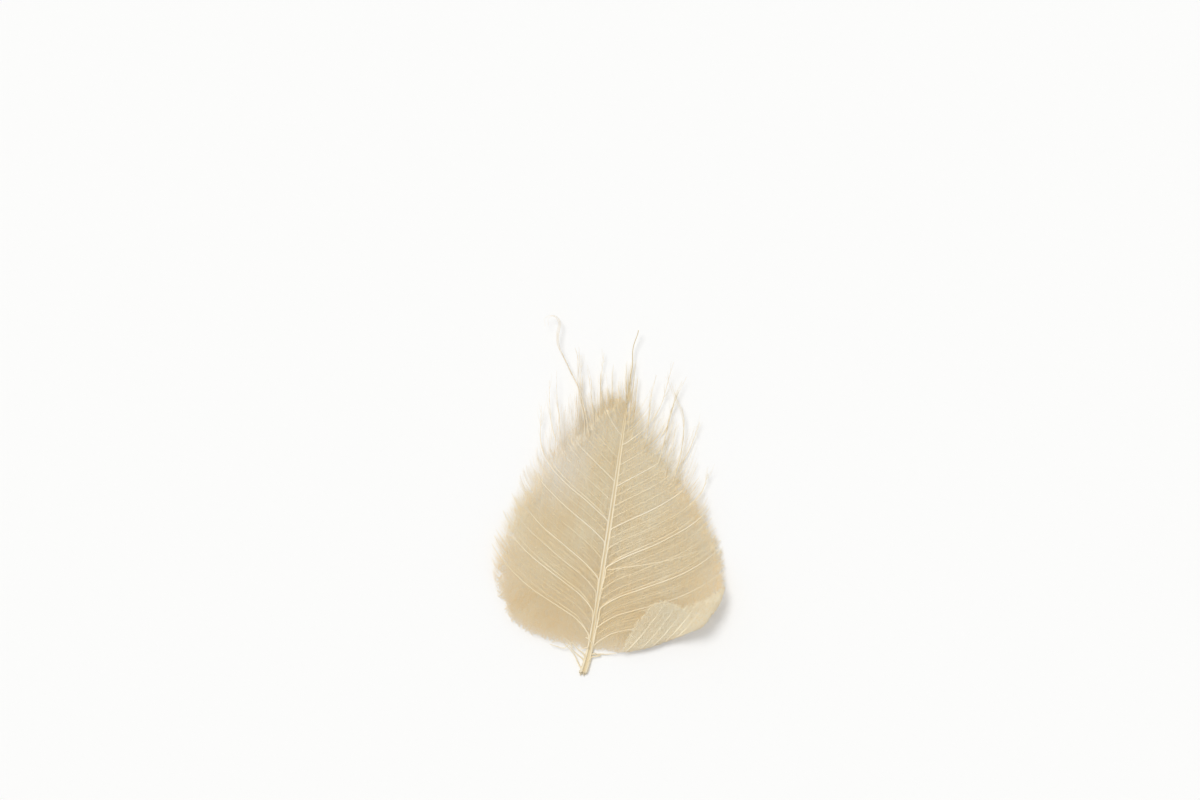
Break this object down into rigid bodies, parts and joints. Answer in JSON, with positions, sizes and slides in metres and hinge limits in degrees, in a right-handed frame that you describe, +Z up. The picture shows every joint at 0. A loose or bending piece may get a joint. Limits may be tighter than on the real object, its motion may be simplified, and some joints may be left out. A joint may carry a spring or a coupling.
{
  "type": "skeleton leaf",
  "caption": "Bleached vein skeleton of a broad pointed leaf, lying flat, with a stalk, a stout midrib, lateral veins and a frayed tip.",
  "frame": {"origin": "leaf base, where the stalk meets the blade, on the midrib's flat underside", "axes": "+Y along the midrib from the stalk to the tip, +Z up from the surface that the leaf lies on, +X to the leaf's right seen from above with the tip away"},
  "size_m": [0.1119, 0.164, 0.0118],
  "materials": {
    "rib_fibre": "bleached dry plant fibre, matte",
    "vein_net": "bleached dry vein net, matte"
  },
  "bodies": {
    "root": {"midrib": "rib_fibre", "left_blade": "vein_net", "right_blade": "vein_net"}
  },
  "joints": []
}
